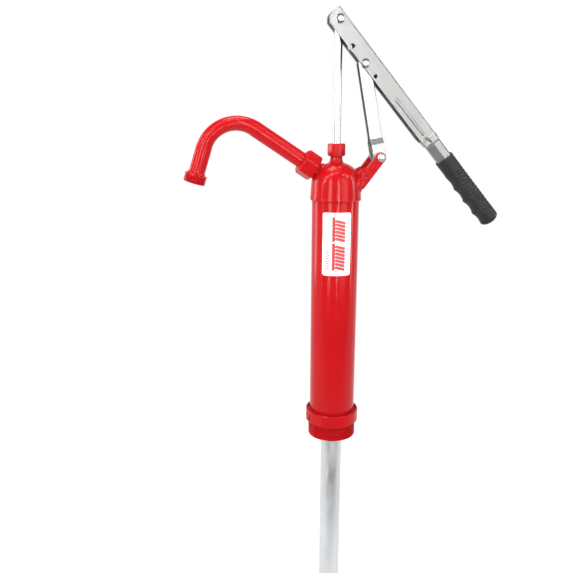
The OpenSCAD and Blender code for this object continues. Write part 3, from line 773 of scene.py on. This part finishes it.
lever = moulded("lever_channel", lever_field, (-11.9, -10.2, -12.7), (LEVER_REACH - 14, 10.2, 8.9), 0.6, zinc,
                ["lever"], AT_LEVER)
darken(lever, AT_LEVER, painted_shade_inside_lever)

GRIP_Z = -0.45


def grip_ring(s, a):
    """Radius of the grip at distance s along the lever; angle 0 faces the web."""
    cap = max(0.0, (s - (LEVER_REACH - 7)) / 7)
    r = np.full(len(a), 11.6 + 0.2 * math.exp(-((s - GRIP_START - 2.0) / 1.6) ** 2))
    off = np.abs((a + np.pi) % (2 * np.pi) - np.pi)
    along = np.clip((s - 224.5) / 1.5, 0, 1) * np.clip((288.0 - s) / 1.5, 0, 1)
    ribs = np.clip((1.95 - off) / 0.35, 0, 1) * along
    wave = math.cos(2 * math.pi * (s - 227.5) / 5.15)
    r = r - ribs * (0.3 + 0.6 * np.sin(a) ** 2) * (1 - np.clip(0.5 + 1.3 * wave, 0, 1))
    low = np.clip((off - 1.6) / 1.1, 0, 1)
    low = low * low * (3 - 2 * low)
    finger = abs(math.sin(math.pi * (s - 245.5) / 19.5)) ** 0.85
    fade = min(1, max(0, (s - 222) / 16)) * min(1, max(0, (LEVER_REACH - 3 - s) / 5))
    r = r + low * fade * (1.35 - 1.9 * finger)
    return r * math.sqrt(max(0, 1 - cap ** 2.6)) if cap else r


def grip_rings():
    """Rings from the recessed mouth of the grip to its round end, in a frame whose Z runs along the lever."""
    a = circle(96)

    def ring(r, s):
        return np.stack([-r * np.cos(a), r * np.sin(a), np.full(96, s)], 1)

    rings = [np.array([[0, 0, GRIP_START + 0.2]]), ring(10.4, GRIP_START + 0.2)]
    rings.append(ring(grip_ring(GRIP_START, a) - 0.35, GRIP_START))
    stations = [GRIP_START + 0.25, *np.arange(GRIP_START + 0.8, LEVER_REACH - 7, 0.5)]
    stations += [LEVER_REACH - 7 + 7 * math.sin(t) for t in np.linspace(0, np.pi / 2, 14)[:-1]]
    rings += [ring(grip_ring(s, a), s) for s in stations]
    return rings + [np.array([[0, 0, LEVER_REACH]])]


along_lever = AT_LEVER @ Matrix.Translation((0, 0, GRIP_Z)) @ turn("Y", math.pi / 2)
solid("moulded_grip", [skin(grip_rings(), along_lever)], grip_mat, ["grip"], sharp=50)

solid("rod_pin_steel", pin_parts(HALF_OUT, AT_LEVER, 1), pin_steel, ["rod_pin"])
clip_piece("rod_pin_e_clip", AT_LEVER, HALF_OUT, -1, -0.87, ["rod_pin_clip"])
AT_HOLE = AT_LEVER @ Matrix.Translation((LINK_HOLE[0], 0, LINK_HOLE[1]))


def pin_end_parts(place):
    """The two ends of the link pin, each in its own side of the lever."""
    f = HALF_OUT
    start = [(0, LEVER_IN + 0.05), (PIN_R, LEVER_IN + 0.05)]
    bends = np.linspace(0, np.pi / 2, 9)[:-1]
    dome = [(PIN_HEAD_R * math.cos(t), f + 0.5 + (PIN_HEAD_H - 0.5) * math.sin(t)) for t in bends]
    head = start + [(PIN_R, f), (PIN_HEAD_R - 0.15, f), (PIN_HEAD_R, f + 0.1)] + dome + [(0, f + PIN_HEAD_H)]
    back = place @ turn("Z", math.pi) @ ALONG_Y
    tail = lathe(start + pin_tail(f), back, 48, closed=False)
    return [lathe(head, place @ ALONG_Y, 48, closed=False), tail]


solid("link_pin_end_pair", pin_end_parts(AT_HOLE), pin_steel, ["link_pin_ends"])
clip_piece("link_pin_e_clip", AT_HOLE, HALF_OUT, -1, -0.87, ["link_pin_clip"])

# ---------------------------------------------------------------- link
# In the link's own frame Z runs along it from the fulcrum pin. The outer faces of its two plates are LOW_V
# from the middle between the ears and TOP_V inside the lever. JOG is where they step from one to the other.
LINK_HALF, LINK_T = 7.5, 2.1
TOP_V, LOW_V = LEVER_IN - 0.4, EAR_IN - 0.3
JOG = (16.2, 22.6)


def link_field(x, y, z):
    """Two plates with round ends, a joggle and a hole at each end, joined above the joggle by a web."""
    v = np.abs(y)
    up, low = TOP_V - LINK_T / 2, LOW_V - LINK_T / 2
    plate = capsule((v, z), (low, -9), (low, JOG[0] - 0.3), LINK_T / 2)
    plate = np.minimum(plate, capsule((v, z), (low, JOG[0] - 0.3), (up, JOG[1] - 0.3), LINK_T / 2))
    plate = np.minimum(plate, capsule((v, z), (up, JOG[1] - 0.3), (up, LINK_LEN + 9), LINK_T / 2))
    plate = smax(plate, v - LOW_V, 0.3)
    web = meet(1.8, v - TOP_V, x - LINK_HALF)
    web = smax(web, -meet(0.8, v - TOP_V + LINK_T, x - LINK_HALF + LINK_T), 0.4)
    web = meet(0.5, web, LINK_HALF - 3.2 - x, JOG[1] + 3 - z, z - LINK_LEN + 12)
    rounded = meet(1.8, x - LINK_HALF, v - TOP_V)
    cut = np.clip(np.minimum(z - JOG[1] - 1, LINK_LEN - 10 - z), 0, 2) / 2
    plate = np.maximum(plate, rounded * cut - 9 * (1 - cut))
    outline = capsule((x, z), (0, 0), (0, LINK_LEN - 0.6), LINK_HALF)
    body = meet(0.35, smin(plate, web, 0.6), outline)
    holes = np.minimum(np.sqrt(x * x + z * z), np.sqrt(x * x + (z - LINK_LEN) ** 2))
    return smax(body, FREE_HOLE_R - holes, 0.4)


# Painted reflection and painted shade: the link's joggle is darkened as if it reflected a dark room, and the
# inner faces behind its web as if in shade.
def painted_shade_on_link(x, y, z):
    return JOG[0] - 0.4 < z < JOG[1] - 0.4 or (abs(y) < TOP_V - LINK_T + 0.3 and x < 4)


link = moulded("link_yoke", link_field, (-8, -12.2, -8), (8, 12.2, LINK_LEN + 8), 0.45, zinc_link_lit, ["link"],
               AT_LINK)
darken(link, AT_LINK, painted_shade_on_link)
middle_profile = soft([(0, -TOP_V), (PIN_R, -TOP_V), (PIN_R, TOP_V), (0, TOP_V)], 0.3, closed=False)
across_link = AT_LINK @ Matrix.Translation((0, 0, LINK_LEN)) @ ALONG_Y
middle_lathe = lathe(middle_profile, across_link, 48, closed=False)
solid("link_pin_middle", [middle_lathe], pin_steel, ["link_pin_shank"])

# ---------------------------------------------------------------- union nut and spout
NUT_S0, UNION_LEN, UNION_HALF, UNION_TURN = 30.2, 20.8, 14.45, math.radians(47.3)


def union_radius(a, r, z):
    """Six faces that taper in at both ends of the nut, with round corners. A negative r is the bore."""
    if r < 0:
        return np.full(len(a), -r)
    return smin(hexagon(a, r, UNION_TURN), np.full(len(a), r * 1.135), 0.5)


union_faces = [(13.2, 0.0), (13.45, 0.2), (14.25, 1.5), (14.4, 1.75), (UNION_HALF, 2.2)]
union_faces += [(UNION_HALF, z) for z in np.linspace(3, UNION_LEN - 4, 12)]
union_faces += [(UNION_HALF, UNION_LEN - 3.3), (14.3, UNION_LEN - 2.95), (13.9, UNION_LEN - 2.6)]
union_faces += [(11.1, UNION_LEN - 0.25), (10.7, UNION_LEN)]
union_bore = [(-10.3, UNION_LEN), (-9.62, UNION_LEN - 0.6), (-9.62, 14.3), (-12.25, 14.3), (-12.25, 0.6),
              (-12.45, 0.0)]
union_place = ALONG_PORT @ Matrix.Translation((0, 0, NUT_S0))
solid("union_hex_nut", [lathe(union_faces + union_bore, union_place, 192, shape=union_radius)], paint_cast,
      ["union_nut"], sharp=24)

SPOUT_R, SPOUT_BORE = 9.525, 8.0


def spout_rings():
    """Rings from the union along the run, round the bend and down the drop, outside and then back inside."""
    a = circle(72)
    frames = []
    for s in np.linspace(41.5, SPOUT_RUN, 12):
        frames.append((ALONG_PORT @ Matrix.Translation((0, 0, s)), 0.0))
    out_of_bend = Matrix.Translation((0, 0, BEND_R)) @ turn("Y", math.pi / 2)
    for t in np.linspace(0, 1, 42)[1:]:
        frames.append((AT_BEND @ turn("Y", BEND_TURN * t) @ out_of_bend, math.sin(math.pi * t) ** 0.6))
    for s in np.linspace(0, DROP_LEN, 8)[1:]:
        frames.append((AT_DROP @ Matrix.Translation((0, 0, s)), 0.0))
    rings = []
    for r, order in ((SPOUT_R, frames), (SPOUT_BORE, frames[::-1])):
        for place, bent in order:
            thick, wide = r * (1 - 0.10 * bent), r * (1 + 0.02 * bent)
            flat = np.stack([thick * np.cos(a), wide * np.sin(a), np.zeros(72)], 1)
            rings.append(placed(flat, place) / MM)
    return rings


solid("gooseneck_tube", [skin(spout_rings(), closed=True)], paint_tube, ["spout_tube"])
TIP_R, TIP_LEN = 13.45, 10.7


def tip_radius(a, r, z):
    return thread(a, r, z, PIPE_PITCH, 1.15, 0.0, TIP_LEN + 0.8) if r > TIP_R - 0.05 else np.full(len(a), r)


tip_outline = [(9.5, 0.0), (12.3, 0.0), (12.9, 0.35)]
tip_outline += [(TIP_R, z) for z in np.arange(0.7, TIP_LEN - 0.6, 0.18)]
tip_outline += [(12.7, TIP_LEN - 0.3), (12.2, TIP_LEN), (8.6, TIP_LEN), (8.0, TIP_LEN - 0.5)]
tip_outline += [(8.0, TIP_LEN - 2.0), (9.5, TIP_LEN - 2.0)]
AT_TIP = AT_DROP @ Matrix.Translation((0, 0, DROP_LEN - TIP_LEN))
tip_lathe = lathe(tip_outline, AT_TIP, 120, shape=tip_radius)
solid("outlet_thread_ring", [tip_lathe], paint_tube, ["spout_tip"], sharp=30)
fillet = soft([(9.3, -2.4), (9.7, -2.3), (10.6, -0.5), (11.4, 0.05), (9.3, 0.05)], 0.5)


def braze(a, r, z):
    """The uneven ring of braze behind the threaded ring."""
    return r + (0.22 * np.sin(23 * a) * np.sin(7 * a + 1) if r > 9.6 else 0)


solid("outlet_braze", [lathe(fillet, AT_TIP, 120, shape=braze)], paint_tube, body="spout")

# ---------------------------------------------------------------- suction tube
UP_R, MID_R, LOW_R = 13.35, 11.1, 9.525
upper_profile = tube_profile(UP_R, UP_R - 1.65, foot_of("upper_tube"), top_of("upper_tube"), 0.4)
solid("suction_tube_upper", [lathe(upper_profile, n=96)], tube_steel, ["upper_tube"])


def slip_collar(name, node, tube_r, inner_r, flutes):
    """A ribbed ring over the foot of one tube, with a hole for the next."""
    lo, hi = foot_of(node), top_of(node)
    out = tube_r + 2.1
    foot = [(inner_r + 0.05, lo), (out - 0.9, lo), (out - 0.5, lo + 0.5), (out - 0.5, lo + 1.6)]
    profile = soft(foot + [(out, lo + 1.9)], 0.25, closed=False)
    profile += [(out, z) for z in np.linspace(lo + 2.2, hi - 2.2, 4)]
    profile += [(out, hi - 1.9), (out - 0.5, hi - 1.6), (out - 0.55, hi - 0.5), (out - 1.1, hi)]
    profile += [(tube_r + 0.02, hi), (tube_r + 0.02, lo + 2), (inner_r + 0.05, lo + 2)]

    def shape(a, r, z):
        if r > out - 0.05 and lo + 2.1 < z < hi - 2.1:
            return r - 0.32 * (0.5 - 0.5 * np.cos(flutes * a))
        return np.full(len(a), float(r))
    solid(name, [lathe(profile, n=flutes * 6, shape=shape)], tube_steel, [node], sharp=40)


slip_collar("suction_collar_upper", "upper_collar", UP_R, MID_R, 40)
slip_collar("suction_collar_middle", "middle_collar", MID_R, LOW_R, 34)


def slide_tube(name, node, r, wall, bead):
    """A sliding tube with a bead of radius bead round its top, which stops it in the collar above."""
    lo, hi = foot_of(node), top_of(node)
    profile = [(r - wall, lo), (r, lo), (r, hi - 3.2), (bead, hi - 2.8), (bead, hi), (r - wall, hi)]
    solid(name, [lathe(soft(profile, 0.35), n=96)], tube_steel, [node])


slide_tube("suction_tube_middle", "middle_tube", MID_R, 1.25, UP_R - 1.75)
slide_tube("suction_tube_lower", "lower_tube", LOW_R, 1.25, MID_R - 1.35)
strainer_z = foot_of("strainer")


def strainer_field(x, y, z):
    """A cup on the foot of the lowest tube, with twelve slots in its wall."""
    r = np.sqrt(x * x + y * y)
    cup = meet(1.0, r - LOW_R - 2.0, -z, z - 20.0)
    cup = smax(cup, -np.maximum(r - LOW_R - 0.02, 14.0 - z), 0.3)
    cup = smax(cup, -np.maximum(r - LOW_R + 0.6, 1.5 - z), 0.3)
    a = np.arctan2(y, x)
    off = np.abs((a + np.pi / 12) % (np.pi / 6) - np.pi / 12) * r
    slot = meet(0.4, off - 1.0, np.abs(z - 7.0) - 4.0, 4.0 - r)
    return smax(cup, -slot, 0.4)


moulded("foot_strainer", strainer_field, (-12, -12, -0.3), (12, 12, 20.3), 0.4, plastic_mat, ["strainer"],
        Matrix.Translation((0, 0, strainer_z)))

# ---------------------------------------------------------------- floor, light and camera
# The floor is where the drum would stand, just below the suction tube at its full length.
TUBE_SLIDES = [JOINTS[name]["range_m"][1] for name in ("middle_tube_slide", "lower_tube_slide")]
FLOOR_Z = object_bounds()[0][2] - sum(TUBE_SLIDES)


def floor_mesh():
    """A pale floor that glows under and behind the object and is dim in front, where paint reflects it."""
    mesh = bpy.data.meshes.new("floor")
    corners = [(x * 40.0, y * 40.0, FLOOR_Z) for x, y in ((-1, -1), (1, -1), (1, 1), (-1, 1))]
    mesh.from_pydata(corners, [], [(0, 1, 2, 3)])
    floor = bpy.data.objects.new("floor", mesh)
    bpy.context.scene.collection.objects.link(floor)
    pale = material("pale_floor", (0.25, 0.25, 0.25), 0.8, tint=0.005, tint_size=400, rough_vary=0.05)
    nodes, links = pale.node_tree.nodes, pale.node_tree.links
    nodes["Principled BSDF"].inputs["Emission Color"].default_value = (1, 1, 1, 1)
    place, axes, glow = (nodes.new("ShaderNode" + kind) for kind in ("TexCoord", "SeparateXYZ", "MapRange"))
    links.new(place.outputs["Object"], axes.inputs["Vector"])
    links.new(axes.outputs["Y"], glow.inputs["Value"])
    glow.interpolation_type = "SMOOTHSTEP"
    for socket, number in (("From Min", -1.8), ("From Max", -0.6), ("To Min", 0.15), ("To Max", 0.91)):
        glow.inputs[socket].default_value = number
    links.new(glow.outputs["Result"], nodes["Principled BSDF"].inputs["Emission Strength"])
    mesh.materials.append(pale)


floor_mesh()


def area(name, spot, target, size, radiance):
    """A rectangular lamp that shines on the target; radiance 1 is as bright as white."""
    data = bpy.data.lights.new(name, "AREA")
    data.shape = "RECTANGLE"
    data.size, data.size_y = size
    data.energy = radiance * math.pi * size[0] * size[1]
    lamp = bpy.data.objects.new(name, data)
    lamp.location = spot
    lamp.rotation_euler = (Vector(target) - Vector(spot)).to_track_quat("-Z", "Y").to_euler()
    lamp.visible_camera = False
    bpy.context.scene.collection.objects.link(lamp)
    return lamp


def strip(name, bearing, width, radiance):
    """An upright lamp 1.5 m away. The bearing, in degrees, runs to the right from the camera's side."""
    t = math.radians(bearing - 10.5)
    spot = (1.5 * math.sin(t), -1.5 * math.cos(t), 0.54)
    area(name, spot, (0, 0, 0.54), (width, 1.3), radiance)


strip("left_wide", -105, 0.50, 5.0)
strip("left_thin", -64, 0.06, 12.0)
strip("front_wide", -25, 0.30, 11.0)
strip("front_thin", 14, 0.10, 26.0)
strip("right_near", 33, 0.16, 4.2)
strip("right_wide", 47, 0.50, 3.6)
strip("right_thin", 90, 0.12, 18.0)
# An arch of lamps over the front of the object draws one line of light along the spout.
ARCH_FOOT = Vector((-0.08, 0, 0.38))
for number, bearing in enumerate((-75, -50, -25, -2, 44)):
    lean = math.radians(bearing)
    out = Vector((0.9 * math.sin(lean), -0.44, 0.9 * math.cos(lean))).normalized()
    along = Vector((math.cos(lean), 0, -math.sin(lean)))
    lamp = area("arch_%d" % number, out * 1.5 + ARCH_FOOT, ARCH_FOOT, (0.6, 0.10), 26.0)
    facing = Matrix((along, out.cross(along), out)).transposed().to_4x4()
    lamp.matrix_world = Matrix.Translation(lamp.location) @ facing
area("overhead", (-0.1, 0.3, 1.9), (0, 0, 0.3), (1.1, 0.7), 8.0)

# The room: a white wall behind the object, a dimmer room on the other sides, and dimmer still overhead.
world = bpy.data.worlds.new("studio")
world.use_nodes = True
sky = world.node_tree
direction = sky.nodes.new("ShaderNodeTexCoord")
split = sky.nodes.new("ShaderNodeSeparateXYZ")
sky.links.new(direction.outputs["Generated"], split.inputs["Vector"])


def sky_ramp(value, low, high, at_low, at_high):
    ramp = sky.nodes.new("ShaderNodeMapRange")
    ramp.interpolation_type = "SMOOTHSTEP"
    for socket, number in (("From Min", low), ("From Max", high), ("To Min", at_low), ("To Max", at_high)):
        ramp.inputs[socket].default_value = number
    sky.links.new(value, ramp.inputs["Value"])
    return ramp.outputs["Result"]


wall = sky_ramp(split.outputs["Y"], 0.35, 0.8, 0.28, 1.0)
height = sky_ramp(split.outputs["Z"], 0.2, 0.75, 1.0, 0.4)
level = sky.nodes.new("ShaderNodeMath")
level.operation = "MULTIPLY"
sky.links.new(wall, level.inputs[0])
sky.links.new(height, level.inputs[1])
sky.links.new(level.outputs[0], sky.nodes["Background"].inputs["Strength"])
sky.nodes["Background"].inputs["Color"].default_value = (1, 1, 1, 1)
scene = bpy.context.scene
scene.world = world
scene.view_settings.view_transform = "Standard"

camera_data = bpy.data.cameras.new("camera")
camera_data.lens = 44.11
camera_data.sensor_width = 36.0
camera_data.clip_start, camera_data.clip_end = 0.01, 100
camera = bpy.data.objects.new("camera", camera_data)
scene.collection.objects.link(camera)
scene.camera = camera
yaw, pitch, roll = math.radians(6.52), math.radians(14.13), math.radians(0.12)
forward = Vector((math.sin(yaw) * math.cos(pitch), math.cos(yaw) * math.cos(pitch), -math.sin(pitch)))
right = Vector((math.cos(yaw), -math.sin(yaw), 0))
up = right.cross(forward)
tilted_right = right * math.cos(roll) + up * math.sin(roll)
tilted_up = up * math.cos(roll) - right * math.sin(roll)
look = Matrix((tilted_right, tilted_up, -forward)).transposed().to_4x4()
camera.matrix_world = Matrix.Translation(Vector((-155.5, -839.0, 390.8)) * MM) @ look
